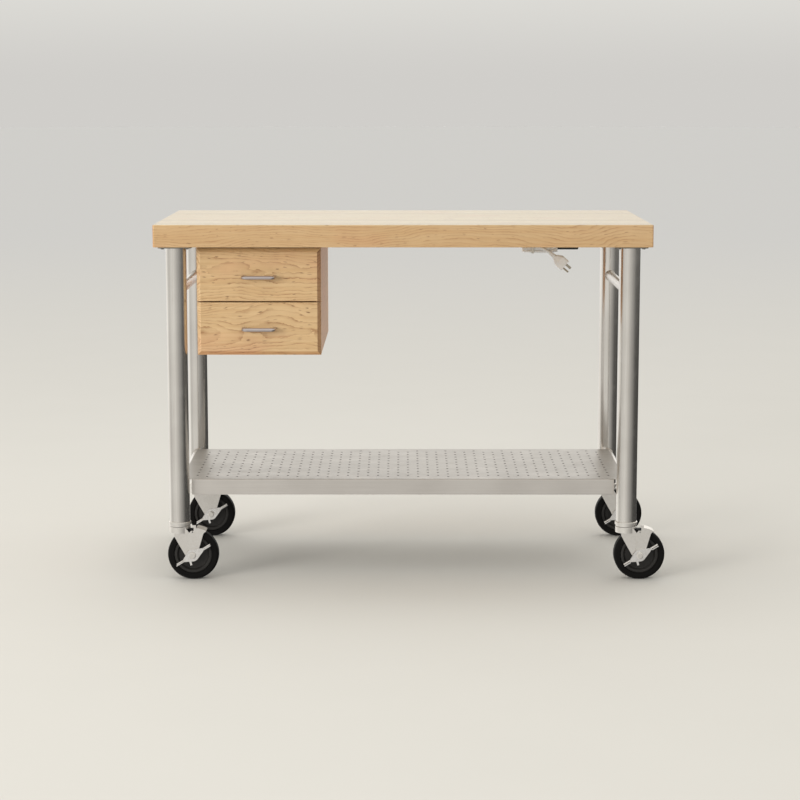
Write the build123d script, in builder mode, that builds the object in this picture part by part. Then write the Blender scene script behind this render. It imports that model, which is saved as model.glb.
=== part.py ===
from build123d import *

import math
import os

os.makedirs("parts", exist_ok=True)

# Every size is in millimetres. +X is the cart's right, +Y its back and +Z up, with the floor at zero.

# Worktop
top_length = 1219.2
top_depth = 609.6
top_height = 889.0
top_thickness = 55.0
underside = top_height - top_thickness

# Legs and the bars between them
leg_x = 558.0
leg_y = 258.0
leg_radius = 25.4
tube_wall = 1.5
leg_bottom = 146.0
flange_size = 82.0
flange_thickness = 3.0
flange_screw_spacing = 60.0
flange_screw_length = 28.0
wood_screw_radius = 2.3
bar_radius = 12.7
towel_bar_height = 718.0

# Shelf
shelf_top = 246.0
shelf_length = 2 * leg_x
shelf_depth = 448.0
lip_length = 1060.0
lip_height = 40.0
lip_hem = 12.0
sheet = 1.2
bend_radius = 2.6
hole_radius = 3.175
column_pitch = 25.4
row_pitch = 38.1

# Drawer case and drawers
case_x = -355.5
case_width = 306.0
case_front = -234.5
case_back = 254.0
case_bottom = 564.5
case_board = 16.0
case_thin_board = 9.0
case_floor_thickness = 12.0
case_floor_lift = 1.5
rail_depth = 60.0
rail_thickness = 18.0
rail_screw_spacing = 100.0
case_screw_length = 43.0
front_width = 306.0
front_height = 130.5
front_thickness = 19.0
front_bottoms = {"lower": 564.0, "upper": 697.5}
front_bevel_width = 9.0
front_bevel_depth = 5.0
drawer_depth = 440.0
drawer_board = 12.0
drawer_box_height = 95.0
drawer_box_lift = {"lower": 20.0, "upper": 11.5}
drawer_bottom_lift = 10.0
drawer_bottom_thickness = 6.0
groove_depth = 5.0
runner_space = 12.7
runner_width = 9.0
runner_setback = 4.0
runner_length = 430.0
cabinet_runner_height = 35.0
drawer_runner_height = 26.0
handle_spacing = 76.2
handle_radius = 4.75
handle_reach = 30.0
handle_drop = {"lower": 0.0, "upper": 5.0}
handle_bend = 7.0
handle_screw_radius = 2.0
handle_screw_bite = 9.0

# Power outlet under the back edge, and its lead
outlet_x = 434.5
outlet_width = 75.0
outlet_depth = 55.0
outlet_height = 47.0
outlet_front = 245.0
outlet_wall = 3.0
cord_radius = 3.5
gland_length = 24.0
gland_root_radius = 7.5
gland_tip_radius = 4.6
gland_core_radius = 4.4
gland_grooves = (8.0, 13.0, 18.0)
gland_groove_width = 1.6
hank_centre = (364.0, 189.5)
hank_size = (96.0, 63.0)
hank_wall = 14.0
hank_bottom = 785.0
hank_height = 28.0
lead_x = 408.0
lead_height = 808.5
clip_places = {-1: 344.0, 1: 374.0}
clip_wall = 1.5
clip_width = 6.0
clip_slack = 2.0
clip_base = (20.0, 14.0, 2.0)
tail_route = [(342, 161.5, 798), (358.5, 156.5, 799.5), (374, 152.8, 794.5), (388, 152.5, 786.5)]
plug_angle = 40.0
plug_neck = 20.0
plug_length = 34.0
plug_shoulder = 14.0
plug_back = (15.0, 17.0)
plug_front = (24.0, 32.0)
blade_length = 16.0
blade_section = (1.5, 6.4)
socket_pitch = 36.0
blade_pitch = 12.7

# Casters
wheel_radius = 63.5
wheel_width = 32.0
caster_trail = 33.0
tread_depth = 16.5
axle_radius = 5.0
kingpin_radius = 6.0
crown_radius = 26.5
crown_top = 134.0
crown_thickness = 3.5
pin_head_radius = 9.0
pin_head_height = 2.0
plug_depth_in_leg = 42.0
race_gap = 0.8
race_step = 3.2
race_radii = (26.0, 28.0)
skirt_bottom = 119.0
fork_gap = 39.0
fork_plate = 3.0
brake_plate_thickness = 2.0
brake_travel = 3.8
shoe_angles = (61.0, 82.0)
lever_plate = 2.5
lever_angle = 31.5
lever_tips = (52.0, -46.0)
lever_tab = (18.0, 16.0)
bolt_head = 5.0
bolt_head_radius = 8.5
nut_radius = 8.0
running_gap = 0.05
side_gap = 0.3

# The casters trail to the right, past the worktop's end. The origin is the middle of the whole, so the
# worktop's own middle stands a little to the left of it.
cart_x = -(leg_x + caster_trail + wheel_radius - top_length / 2) / 2

rows = {"front": -leg_y, "back": leg_y}
columns = {"left": -leg_x, "right": leg_x}
standing = (Align.CENTER, Align.CENTER, Align.MIN)


def level(x=0, y=0, z=0):
    """A plane facing up, placed from the middle of the worktop on the floor."""
    return Plane((cart_x + x, y, z))


def facing_front(x, y, z):
    """A plane facing the front: its x is +X and its y is +Z."""
    return Plane((cart_x + x, y, z), x_dir=(1, 0, 0), z_dir=(0, -1, 0))


def facing_right(x, y, z):
    """A plane facing the right: its x is +Y and its y is +Z."""
    return Plane((cart_x + x, y, z), x_dir=(0, 1, 0), z_dir=(1, 0, 0))


def keep(piece, label):
    """Name one finished piece and write it to its own file."""
    piece.part.label = label
    export_step(piece.part, f"parts/{label}.step")


def keep_group(pieces, label):
    """Write pieces that stay separate solids to one file."""
    group = Compound(label=label, children=[piece.part for piece in pieces])
    export_step(group, f"parts/{label}.step")


def block(x_range, y_range, z_range, eased=0.0):
    """A rectangular board between the given limits, with its edges eased."""
    length = x_range[1] - x_range[0]
    depth = y_range[1] - y_range[0]
    plane = level(sum(x_range) / 2, sum(y_range) / 2, z_range[0])
    with BuildPart(plane) as board:
        Box(length, depth, z_range[1] - z_range[0], align=standing)
        if eased:
            chamfer(board.edges(), eased)
    return board


def screws(plane, places, shank_radius, shank_length):
    """Pan-head screws with their heads behind the plane and their shanks along its normal."""
    head_radius = 2 * shank_radius
    head_height = 1.2 * shank_radius
    with BuildPart() as group:
        with BuildSketch(plane):
            with Locations(*places):
                Circle(shank_radius)
        extrude(amount=shank_length)
        with BuildSketch(plane):
            with Locations(*places):
                Circle(head_radius)
        extrude(amount=-head_height, taper=20)
        with BuildSketch(plane.offset(-head_height)):
            with Locations(*places):
                Rectangle(head_radius, head_radius / 5)
                Rectangle(head_radius / 5, head_radius)
        extrude(amount=head_height / 2, mode=Mode.SUBTRACT)
    return group


# ---- Worktop: one glued slab of maple, with eased edges ----

with BuildPart(level(z=underside)) as worktop:
    Box(top_length, top_depth, top_thickness, align=standing)
    fillet(worktop.edges().filter_by(Axis.Z), 5)
    fillet(worktop.edges().group_by(Axis.Z)[-1], 3)
    fillet(worktop.edges().group_by(Axis.Z)[0], 1.5)
keep(worktop, "worktop")


# ---- Frame: four tube legs, with a flange plate on each and bars from front to back ----

for row, y in rows.items():
    for column, x in columns.items():
        with BuildPart() as leg:
            with BuildSketch(level(x, y, leg_bottom)):
                Circle(leg_radius)
                Circle(leg_radius - tube_wall, mode=Mode.SUBTRACT)
            extrude(amount=underside - flange_thickness - leg_bottom)
        keep(leg, f"leg_{row}_{column}")

with BuildPart() as leg_flanges:
    with BuildSketch(level(z=underside - flange_thickness)):
        with GridLocations(2 * leg_x, 2 * leg_y, 2, 2):
            RectangleRounded(flange_size, flange_size, 8)
            with GridLocations(flange_screw_spacing, flange_screw_spacing, 2, 2):
                Circle(wood_screw_radius + side_gap, mode=Mode.SUBTRACT)
    extrude(amount=flange_thickness)
keep(leg_flanges, "leg_flanges")

half_spacing = flange_screw_spacing / 2
flange_screw_places = [
    (x + dx, y + dy)
    for x in columns.values()
    for y in rows.values()
    for dx in (-half_spacing, half_spacing)
    for dy in (-half_spacing, half_spacing)
]
flange_screws = screws(
    level(z=underside - flange_thickness), flange_screw_places, wood_screw_radius, flange_screw_length
)
keep(flange_screws, "flange_screws")


def cross_bar(x, z):
    """A tube from the front leg to the back leg, coped to both."""
    with BuildPart() as bar:
        with BuildSketch(facing_front(x, 0, z)):
            Circle(bar_radius)
            Circle(bar_radius - tube_wall, mode=Mode.SUBTRACT)
        extrude(amount=leg_y, both=True)
        with BuildSketch(level(x, 0, z - 2 * bar_radius)):
            with GridLocations(0, 2 * leg_y, 1, 2):
                Circle(leg_radius)
        extrude(amount=4 * bar_radius, mode=Mode.SUBTRACT)
    return bar


for column, x in columns.items():
    keep(cross_bar(x, towel_bar_height), f"towel_bar_{column}")
    keep(cross_bar(x, shelf_top - sheet - bar_radius), f"shelf_rail_{column}")


# ---- Shelf: one sheet of steel with its front and back folded down, on the shelf rails ----

with BuildPart() as shelf_pan:
    with BuildSketch(facing_right(-lip_length / 2, 0, shelf_top - lip_height / 2)):
        RectangleRounded(shelf_depth, lip_height, bend_radius)
        RectangleRounded(
            shelf_depth - 2 * sheet, lip_height - 2 * sheet, bend_radius - sheet, mode=Mode.SUBTRACT
        )
        with Locations((0, -lip_height / 2)):
            Rectangle(shelf_depth - 2 * lip_hem, 4 * sheet, mode=Mode.SUBTRACT)
    extrude(amount=lip_length)
    with BuildSketch(level(z=shelf_top - sheet)):
        RectangleRounded(shelf_length, shelf_depth - 2 * bend_radius, 6)
    extrude(amount=sheet)
    with BuildSketch(level(z=shelf_top)):
        with GridLocations(3 * column_pitch, row_pitch, 14, 11):
            Circle(hole_radius)
        for shift in (-column_pitch, column_pitch):
            with Locations((shift, 0)):
                with GridLocations(3 * column_pitch, row_pitch, 14, 10):
                    Circle(hole_radius)
    extrude(amount=-sheet, mode=Mode.SUBTRACT)
keep(shelf_pan, "shelf_pan")


# ---- Drawer case: two sides, a floor, a back and two rails that are screwed up into the worktop ----

case_left = case_x - case_width / 2
case_right = case_x + case_width / 2
inner_left = case_left + case_board
inner_right = case_right - case_board
case_depth = (case_front, case_back)

keep(
    block((case_left, inner_left), case_depth, (case_bottom, underside), eased=0.8),
    "case_side_left",
)
keep(
    block((inner_right, case_right), case_depth, (case_bottom, underside), eased=0.8),
    "case_side_right",
)
keep(
    block(
        (inner_left, inner_right),
        (case_front, case_back - case_thin_board),
        (case_bottom + case_floor_lift, case_bottom + case_floor_lift + case_floor_thickness),
    ),
    "case_floor",
)
keep(
    block(
        (inner_left, inner_right),
        (case_back - case_thin_board, case_back),
        (case_bottom + case_floor_lift, underside),
    ),
    "case_back",
)

rail_starts = (case_front + 1, case_back - case_thin_board - rail_depth)
case_rails = [
    block(
        (inner_left, inner_right),
        (start, start + rail_depth),
        (underside - rail_thickness, underside),
    )
    for start in rail_starts
]
keep_group(case_rails, "case_rails")

case_screw_places = [
    (case_x + dx, start + rail_depth / 2)
    for start in rail_starts
    for dx in (-rail_screw_spacing, 0, rail_screw_spacing)
]
case_screws = screws(
    level(z=underside - rail_thickness), case_screw_places, wood_screw_radius, case_screw_length
)
keep(case_screws, "case_screws")


# ---- Drawers: an overlay front, a box of four boards round a grooved bottom, runners and a pull ----

front_face = case_front - 0.5 - front_thickness
drawer_start = front_face + front_thickness
drawer_range = (drawer_start, drawer_start + drawer_depth)
drawer_left = inner_left + runner_space
drawer_right = inner_right - runner_space
runner_end = drawer_start + runner_setback + runner_length
bottom_size = (
    drawer_right - drawer_left - 2 * drawer_board + 2 * groove_depth,
    drawer_depth - 2 * drawer_board + 2 * groove_depth,
)


def box_bottom_height(drawer):
    """The lowest point of a drawer's box."""
    return front_bottoms[drawer] + drawer_box_lift[drawer]


def handle_height(drawer):
    """Where a drawer's pull stands, a little under the middle of the upper front."""
    return front_bottoms[drawer] + front_height / 2 - handle_drop[drawer]


def runner_profile(x, inward, height):
    """A channel's section: its web stands at x and its flanges point inward."""
    with Locations((x + inward * runner_width / 2, 0)):
        Rectangle(runner_width, height)
    with Locations((x + inward * (runner_width / 2 + sheet), 0)):
        Rectangle(runner_width, height - 2 * sheet, mode=Mode.SUBTRACT)


with BuildPart() as cabinet_runners:
    for drawer in front_bottoms:
        with BuildSketch(facing_front(0, runner_end, box_bottom_height(drawer) + drawer_box_height / 2)):
            runner_profile(inner_left, 1, cabinet_runner_height)
            runner_profile(inner_right, -1, cabinet_runner_height)
        extrude(amount=runner_length)
keep(cabinet_runners, "cabinet_runners")


def drawer_front(drawer):
    """A front whose outer edges are bevelled, all but the edge that meets the other front."""
    bottom = front_bottoms[drawer]
    meeting_edge = 0 if drawer == "upper" else -1
    with BuildPart(level(case_x, front_face + front_thickness / 2, bottom)) as front:
        Box(front_width, front_thickness, front_height, align=standing)
        face = front.faces().sort_by(Axis.Y)[0]
        eased_edge = face.edges().sort_by(Axis.Z)[meeting_edge]
        bevelled = [edge for edge in face.edges() if edge != eased_edge]
        chamfer(bevelled, front_bevel_width, front_bevel_depth, reference=face)
        face = front.faces().sort_by(Axis.Y)[0]
        chamfer(face.edges().sort_by(Axis.Z)[meeting_edge], 1)
        with BuildSketch(facing_front(case_x, drawer_start, handle_height(drawer))):
            with GridLocations(handle_spacing, 0, 2, 1):
                Circle(handle_screw_radius + side_gap)
        extrude(amount=front_thickness, mode=Mode.SUBTRACT)
    return front


def drawer_box(drawer):
    """The four boards of a drawer's box, each with a groove that holds the bottom."""
    bottom = box_bottom_height(drawer)
    heights = (bottom, bottom + drawer_box_height)
    between = (drawer_left + drawer_board, drawer_right - drawer_board)
    limits = [
        ((drawer_left, drawer_left + drawer_board), drawer_range),
        ((drawer_right - drawer_board, drawer_right), drawer_range),
        (between, (drawer_range[0], drawer_range[0] + drawer_board)),
        (between, (drawer_range[1] - drawer_board, drawer_range[1])),
    ]
    boards = []
    for x_range, y_range in limits:
        plane = level(sum(x_range) / 2, sum(y_range) / 2, bottom)
        with BuildPart(plane) as board:
            Box(x_range[1] - x_range[0], y_range[1] - y_range[0], drawer_box_height, align=standing)
            with BuildSketch(level(case_x, sum(drawer_range) / 2, bottom + drawer_bottom_lift)):
                Rectangle(*bottom_size)
            extrude(amount=drawer_bottom_thickness, mode=Mode.SUBTRACT)
            with BuildSketch(facing_front(case_x, drawer_start + drawer_board, handle_height(drawer))):
                with GridLocations(handle_spacing, 0, 2, 1):
                    Circle(handle_screw_radius + side_gap)
            extrude(amount=drawer_board, mode=Mode.SUBTRACT)
        boards.append(board)
    return boards


def drawer_bottom(drawer):
    """The thin panel in the grooves of a drawer's box."""
    height = box_bottom_height(drawer) + drawer_bottom_lift
    with BuildPart(level(case_x, sum(drawer_range) / 2, height)) as panel:
        Box(*bottom_size, drawer_bottom_thickness, align=standing)
    return panel


def drawer_runners(drawer):
    """The two channels on the drawer's sides, which run inside those on the case."""
    middle = box_bottom_height(drawer) + drawer_box_height / 2
    with BuildPart() as runners:
        with BuildSketch(facing_front(0, runner_end, middle)):
            runner_profile(drawer_left, -1, drawer_runner_height)
            runner_profile(drawer_right, 1, drawer_runner_height)
        extrude(amount=runner_length)
    return runners


def drawer_pull(drawer):
    """A bent rod, and the two screws that hold it from inside the drawer."""
    height = handle_height(drawer)
    out = front_face - handle_reach + handle_radius
    left = cart_x + case_x - handle_spacing / 2
    right = left + handle_spacing
    corners = [
        (left, front_face, height),
        (left, out, height),
        (right, out, height),
        (right, front_face, height),
    ]
    with BuildPart() as rod:
        with BuildLine() as route:
            FilletPolyline(*corners, radius=handle_bend)
        with BuildSketch(facing_front(case_x - handle_spacing / 2, front_face, height)):
            Circle(handle_radius)
        sweep(path=route.wires()[0])
        with BuildSketch(facing_front(case_x, front_face, height)):
            with GridLocations(handle_spacing, 0, 2, 1):
                Circle(handle_screw_radius + running_gap)
        extrude(amount=handle_screw_bite + 1, mode=Mode.SUBTRACT)
    inside_face = facing_front(case_x, drawer_start + drawer_board, height)
    half = handle_spacing / 2
    reach = drawer_board + front_thickness + handle_screw_bite
    return [rod, screws(inside_face, [(-half, 0), (half, 0)], handle_screw_radius, reach)]


for drawer in front_bottoms:
    keep(drawer_front(drawer), f"{drawer}_drawer_front")
    keep_group(drawer_box(drawer), f"{drawer}_drawer_box")
    keep(drawer_bottom(drawer), f"{drawer}_drawer_bottom")
    keep(drawer_runners(drawer), f"{drawer}_drawer_runners")
    keep_group(drawer_pull(drawer), f"{drawer}_drawer_pull")


# ---- Power outlet: a box under the back edge, with its sockets facing back ----

outlet_bottom = underside - outlet_height
outlet_back = outlet_front + outlet_depth
with BuildPart() as outlet_box:
    with BuildSketch(level(outlet_x, outlet_front + outlet_depth / 2, outlet_bottom)):
        Rectangle(outlet_width, outlet_depth)
    extrude(amount=outlet_height)
    fillet(outlet_box.edges().group_by(Axis.Z)[0], 3)
    with BuildSketch(facing_front(outlet_x, outlet_back, underside - outlet_height / 2)):
        Rectangle(outlet_width - 2 * outlet_wall, outlet_height - 2 * outlet_wall)
    extrude(amount=outlet_depth - outlet_wall, mode=Mode.SUBTRACT)
keep(outlet_box, "outlet_box")

with BuildPart() as outlet_face:
    face_plane = facing_front(outlet_x, outlet_back + outlet_wall, underside - outlet_height / 2)
    with BuildSketch(face_plane):
        RectangleRounded(outlet_width, outlet_height - 1, 3)
        with GridLocations(socket_pitch, 0, 2, 1):
            with GridLocations(blade_pitch, 0, 2, 1):
                Rectangle(2, 9, mode=Mode.SUBTRACT)
            with Locations((0, -11)):
                Circle(2.6, mode=Mode.SUBTRACT)
    extrude(amount=outlet_wall)
keep(outlet_face, "outlet_face")

gland_plane = facing_front(lead_x, outlet_front, lead_height)
with BuildPart() as cord_gland:
    with BuildSketch(gland_plane):
        Circle(gland_root_radius)
    with BuildSketch(gland_plane.offset(gland_length)):
        Circle(gland_tip_radius)
    loft()
    for groove in gland_grooves:
        with BuildSketch(gland_plane.offset(groove)):
            Circle(gland_root_radius + 1)
            Circle(gland_core_radius, mode=Mode.SUBTRACT)
        extrude(amount=gland_groove_width, mode=Mode.SUBTRACT)
keep(cord_gland, "cord_gland")

with BuildPart() as cord_hank:
    with BuildSketch(level(*hank_centre, hank_bottom)):
        SlotOverall(*hank_size)
        SlotOverall(hank_size[0] - 2 * hank_wall, hank_size[1] - 2 * hank_wall, mode=Mode.SUBTRACT)
    extrude(amount=hank_height)
    with BuildSketch(facing_front(lead_x, outlet_front - gland_length, lead_height)):
        Circle(cord_radius)
    extrude(amount=outlet_front - gland_length - hank_centre[1])
keep(cord_hank, "cord_hank")


def cord_run(a, b):
    """The length of the run between two points of a route."""
    return (Vector(*b) - Vector(*a)).length


def route_radii(points):
    """The largest arc at each corner that leaves a little of both runs straight."""
    radii = []
    for before, corner, after in zip(points, points[1:], points[2:]):
        turn = (Vector(*corner) - Vector(*before)).get_angle(Vector(*after) - Vector(*corner))
        shorter = min(cord_run(before, corner), cord_run(corner, after))
        radii.append(0.45 * shorter / math.tan(math.radians(turn / 2)))
    return radii


tail_points = [(cart_x + x, y, z) for x, y, z in tail_route]
tail_radii = route_radii(tail_points)
print("cord tail radii", [round(radius, 1) for radius in tail_radii])
with BuildPart() as cord_tail:
    with BuildLine() as tail_line:
        FilletPolyline(*tail_points, radius=tail_radii)
    tail_wire = tail_line.wires()[0]
    with BuildSketch(Plane(tail_wire @ 0, z_dir=tail_wire % 0)):
        Circle(cord_radius)
    sweep(path=tail_wire)
section_times_length = math.pi * cord_radius**2 * tail_wire.length
print("cord tail volume", round(cord_tail.part.volume, 1), "of", round(section_times_length, 1))
keep(cord_tail, "cord_tail")

plug_direction = (
    math.cos(math.radians(plug_angle)),
    0,
    -math.sin(math.radians(plug_angle)),
)
plug_start = Plane(tail_points[-1], x_dir=(0, 1, 0), z_dir=plug_direction)
body_start = plug_start.offset(plug_neck)
with BuildPart() as plug:
    with BuildSketch(plug_start):
        Circle(4.2)
    with BuildSketch(body_start):
        Circle(7)
    loft()
    with BuildSketch(body_start):
        RectangleRounded(*plug_back, 4)
    with BuildSketch(body_start.offset(plug_shoulder)):
        RectangleRounded(*plug_front, 5)
    loft()
    with BuildSketch(body_start.offset(plug_shoulder)):
        RectangleRounded(*plug_front, 5)
    extrude(amount=plug_length - plug_shoulder)
    fillet(plug.faces().sort_by(Axis(body_start.origin, body_start.z_dir))[-1].edges(), 2)
keep(plug, "plug")

blade_plane = body_start.offset(plug_length)
with BuildPart() as plug_blades:
    with BuildSketch(blade_plane):
        with GridLocations(blade_pitch, 0, 2, 1):
            with Locations((0, 4)):
                Rectangle(*blade_section)
    extrude(amount=blade_length)
    with BuildSketch(blade_plane):
        with Locations((0, -8)):
            Circle(2.4)
    extrude(amount=blade_length + 2)
    fillet(plug_blades.edges().filter_by(GeomType.CIRCLE).sort_by(Axis.Z)[0], 1)
keep(plug_blades, "plug_blades")

with BuildPart() as cord_clips:
    hank_top = hank_bottom + hank_height
    for side, clip_x in clip_places.items():
        band_y = hank_centre[1] + side * (hank_size[1] - hank_wall) / 2
        band_plane = facing_right(clip_x - clip_width / 2, band_y, (hank_bottom + hank_top) / 2)
        inner_width = hank_wall + 2 * clip_slack
        inner_height = hank_height + 2 * side_gap
        with BuildSketch(band_plane):
            RectangleRounded(inner_width + 2 * clip_wall, inner_height + 2 * clip_wall, 3)
            RectangleRounded(inner_width, inner_height, 1.5, mode=Mode.SUBTRACT)
        extrude(amount=clip_width)
        with BuildSketch(level(clip_x, band_y, hank_top + side_gap + clip_wall / 2)):
            Rectangle(clip_width, 5)
        extrude(amount=underside - hank_top - side_gap - clip_wall / 2)
        with BuildSketch(level(clip_x, band_y, underside - clip_base[2])):
            RectangleRounded(clip_base[0], clip_base[1], 2)
        extrude(amount=clip_base[2])
keep(cord_clips, "cord_clips")


# ---- Casters: a plug and race fixed in each leg, and a fork, wheel and brake that swivel below ----

with BuildPart() as caster_stems:
    pin_head = crown_top - crown_thickness - 0.3
    for height, radius, length in (
        (leg_bottom, leg_radius - tube_wall - side_gap, plug_depth_in_leg),
        (pin_head, kingpin_radius, leg_bottom - pin_head),
        (pin_head - pin_head_height, pin_head_radius, pin_head_height),
    ):
        with BuildSketch(level(z=height)):
            with GridLocations(2 * leg_x, 2 * leg_y, 2, 2):
                Circle(radius)
        extrude(amount=length)
keep(caster_stems, "caster_stems")

with BuildPart() as caster_races:
    race_bottom = crown_top + race_gap
    step_height = race_bottom + race_step
    for height, radius, length in (
        (race_bottom, race_radii[0], race_step),
        (step_height, race_radii[1], leg_bottom - step_height),
    ):
        with BuildSketch(level(z=height)):
            with GridLocations(2 * leg_x, 2 * leg_y, 2, 2):
                Circle(radius)
                Circle(kingpin_radius + side_gap, mode=Mode.SUBTRACT)
        extrude(amount=length)
    fillet(caster_races.edges().filter_by(GeomType.CIRCLE).group_by(SortBy.RADIUS)[-1], 1)
keep(caster_races, "caster_races")

fork_inside = fork_gap / 2
fork_outside = fork_inside + fork_plate
brake_face = fork_outside + side_gap
lever_face = brake_face + brake_plate_thickness + side_gap
nut_face = lever_face + lever_plate + side_gap


def caster_fork(x, y):
    """A pressed cup with two tapering cheeks, open for the wheel."""
    wheel = facing_front(x + caster_trail, y, wheel_radius)
    cheek_top = crown_top - wheel_radius
    outline = [
        (-47, cheek_top),
        (-46, 48),
        (-30, 19),
        (-15, -7),
        (-9, -11),
        (9, -11),
        (14, 0),
        (14, 8),
        (-8, 56),
        (-19, cheek_top),
    ]
    with BuildPart() as fork:
        with BuildSketch(level(x, y, skirt_bottom)):
            Circle(crown_radius)
        extrude(amount=crown_top - skirt_bottom)
        fillet(fork.edges().sort_by(Axis.Z)[-1], 1.5)
        with BuildSketch(level(x, y, skirt_bottom)):
            Circle(crown_radius - fork_plate)
        extrude(amount=crown_top - crown_thickness - skirt_bottom, mode=Mode.SUBTRACT)
        for side in (-1, 1):
            with BuildSketch(wheel.offset(side * (fork_inside + fork_plate / 2))):
                with BuildLine():
                    Polyline(*outline, close=True)
                make_face()
            extrude(amount=fork_plate / 2, both=True)
        with BuildSketch(wheel):
            Circle(wheel_radius + 3)
        extrude(amount=fork_inside, both=True, mode=Mode.SUBTRACT)
        with BuildSketch(wheel):
            Circle(axle_radius + side_gap)
        extrude(amount=2 * fork_inside, both=True, mode=Mode.SUBTRACT)
        with BuildSketch(level(x, y, skirt_bottom)):
            Circle(kingpin_radius + running_gap)
        extrude(amount=crown_top - skirt_bottom, mode=Mode.SUBTRACT)
    return fork


def caster_axle(x, y):
    """The axle bolt, with a hexagon head at the back and a domed nut in front."""
    wheel = facing_front(x + caster_trail, y, wheel_radius)
    with BuildPart() as axle:
        with BuildSketch(wheel.offset(-fork_outside)):
            Circle(axle_radius)
        extrude(amount=fork_outside + nut_face)
        with BuildSketch(wheel.offset(-fork_outside)):
            RegularPolygon(bolt_head_radius, 6)
        extrude(amount=-bolt_head)
        with BuildSketch(wheel.offset(nut_face)):
            Circle(nut_radius)
        extrude(amount=bolt_head)
        fillet(axle.edges().sort_by(Axis.Y)[0], 2)
    return axle


def caster_hub(x, y):
    """The wheel's core: a boss on the axle, a dished web and a raised ring under the tread."""
    core_radius = wheel_radius - tread_depth
    half_section = [
        (0, axle_radius + running_gap),
        (fork_inside - 0.6, axle_radius + running_gap),
        (fork_inside - 0.6, 11),
        (11, 14),
        (8, 20),
        (8, 36),
        (12.5, 39),
        (14.5, 40.5),
        (14.5, 44.5),
        (13, core_radius),
        (0, core_radius),
    ]
    with BuildPart() as hub:
        with BuildSketch(facing_right(x + caster_trail, y, wheel_radius)):
            with BuildLine():
                Polyline(*half_section, close=True)
            make_face()
            mirror(about=Plane.YZ)
        revolve(axis=Axis((cart_x + x + caster_trail, y, wheel_radius), (0, 1, 0)))
    return hub


def caster_tyre(x, y):
    """The tread round the core, with rounded shoulders."""
    with BuildPart() as tyre:
        with BuildSketch(facing_right(x + caster_trail, y, wheel_radius)) as section:
            with Locations((0, wheel_radius - tread_depth / 2)):
                Rectangle(wheel_width, tread_depth)
            fillet(section.vertices().group_by(Axis.Y)[-1], 7)
            chamfer(section.vertices().group_by(Axis.Y)[0], 2)
        revolve(axis=Axis((cart_x + x + caster_trail, y, wheel_radius), (0, 1, 0)))
    return tyre


def caster_brake_plate(x, y):
    """A slotted plate in front of the fork, with a shoe that reaches over the tread."""
    plate = facing_front(x + caster_trail, y, wheel_radius).offset(brake_face)
    shoe_inside = wheel_radius + 4.3
    shoe_outside = shoe_inside + 2.5
    shoe_start, shoe_end = (math.radians(angle) for angle in shoe_angles)
    slot_angle = sum(shoe_angles) / 2
    slot_width = 2 * (axle_radius + side_gap)
    slot_middle = (
        brake_travel / 2 * math.cos(math.radians(slot_angle)),
        brake_travel / 2 * math.sin(math.radians(slot_angle)),
    )
    outline = [
        (-9, 12),
        (-9, 56),
        (-4, 62),
        (3, 62),
        (3, 72.5),
        (-1, 73.5),
        (-1, 76.5),
        (9, 76.5),
        (9, 68),
        (21.5, 66),
        (shoe_outside * math.cos(shoe_start), shoe_outside * math.sin(shoe_start)),
        (27, 55),
        (15, 14),
        (9, -10),
        (-9, -10),
    ]
    with BuildPart() as brake:
        with BuildSketch(plate):
            with BuildLine():
                Polyline(*outline, close=True)
            make_face()
            with Locations((0, 59)):
                Circle(1.6, mode=Mode.SUBTRACT)
            with Locations(slot_middle):
                SlotOverall(
                    slot_width + brake_travel + 0.4, slot_width, rotation=slot_angle, mode=Mode.SUBTRACT
                )
        extrude(amount=brake_plate_thickness)
        with BuildSketch(plate.offset(brake_plate_thickness)):
            with BuildLine():
                outer_ends = [
                    (shoe_outside * math.cos(angle), shoe_outside * math.sin(angle))
                    for angle in (shoe_start, shoe_end)
                ]
                inner_ends = [
                    (shoe_inside * math.cos(angle), shoe_inside * math.sin(angle))
                    for angle in (shoe_start, shoe_end)
                ]
                RadiusArc(outer_ends[0], outer_ends[1], -shoe_outside)
                RadiusArc(inner_ends[0], inner_ends[1], -shoe_inside)
                Line(outer_ends[0], inner_ends[0])
                Line(outer_ends[1], inner_ends[1])
            make_face()
        extrude(amount=-(brake_face + brake_plate_thickness + wheel_width / 2 - 2))
    return brake


def caster_brake_lever(x, y):
    """A rocking lever on the axle's end, with a foot tab bent out at each tip."""
    plate = facing_front(x + caster_trail, y, wheel_radius).offset(lever_face)
    along = (math.cos(math.radians(lever_angle)), math.sin(math.radians(lever_angle)))
    with BuildPart() as lever:
        with BuildSketch(plate):
            Circle(15)
            for distance in (26, -22):
                with Locations((distance * along[0], distance * along[1])):
                    Circle(5)
            make_hull()
            with Locations((0.5 * sum(lever_tips) * along[0], 0.5 * sum(lever_tips) * along[1])):
                Rectangle(lever_tips[0] - lever_tips[1], 6, rotation=lever_angle)
            with Locations((-5, -19)):
                Rectangle(5, 12, rotation=15)
            Circle(axle_radius + running_gap, mode=Mode.SUBTRACT)
        extrude(amount=lever_plate)
        with BuildSketch(plate):
            for tip in lever_tips:
                middle = tip - math.copysign(lever_tab[0] / 2, tip)
                with Locations((middle * along[0], middle * along[1])):
                    Rectangle(lever_tab[0], lever_plate, rotation=lever_angle)
        extrude(amount=lever_tab[1])
    return lever


for row, y in rows.items():
    for column, x in columns.items():
        corner = f"caster_{row}_{column}"
        keep_group([caster_fork(x, y), caster_axle(x, y)], f"{corner}_fork")
        keep(caster_hub(x, y), f"{corner}_hub")
        keep(caster_tyre(x, y), f"{corner}_tyre")
        keep(caster_brake_plate(x, y), f"{corner}_brake_plate")
        keep(caster_brake_lever(x, y), f"{corner}_brake_lever")
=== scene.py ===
import math

import bmesh
import bpy
from mathutils import Matrix, Vector


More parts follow.
